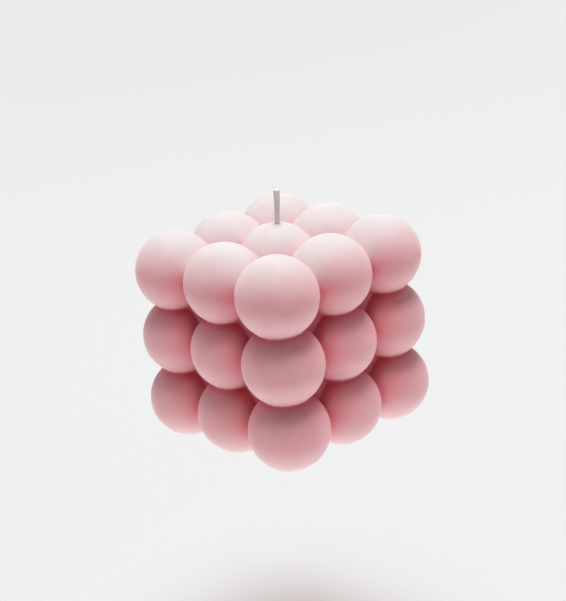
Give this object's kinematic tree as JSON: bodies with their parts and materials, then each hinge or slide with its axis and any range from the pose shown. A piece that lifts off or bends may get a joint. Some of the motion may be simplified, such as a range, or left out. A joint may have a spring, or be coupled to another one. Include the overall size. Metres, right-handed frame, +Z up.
{
  "type": "bubble cube candle",
  "caption": "Cube of merged round wax balls, cast in one piece, with a short braided cotton wick standing out of the middle top ball.",
  "frame": {"origin": "middle of the flat feet that the candle stands on", "axes": "+Z up along the wick; +X and +Y along the two horizontal rows of balls"},
  "size_m": [0.06, 0.06, 0.0666],
  "materials": {
    "wax": "matte pink wax, softly translucent",
    "cotton": "off-white braided cotton"
  },
  "bodies": {
    "root": {"wax_body": "wax", "wick": "cotton"}
  },
  "joints": []
}
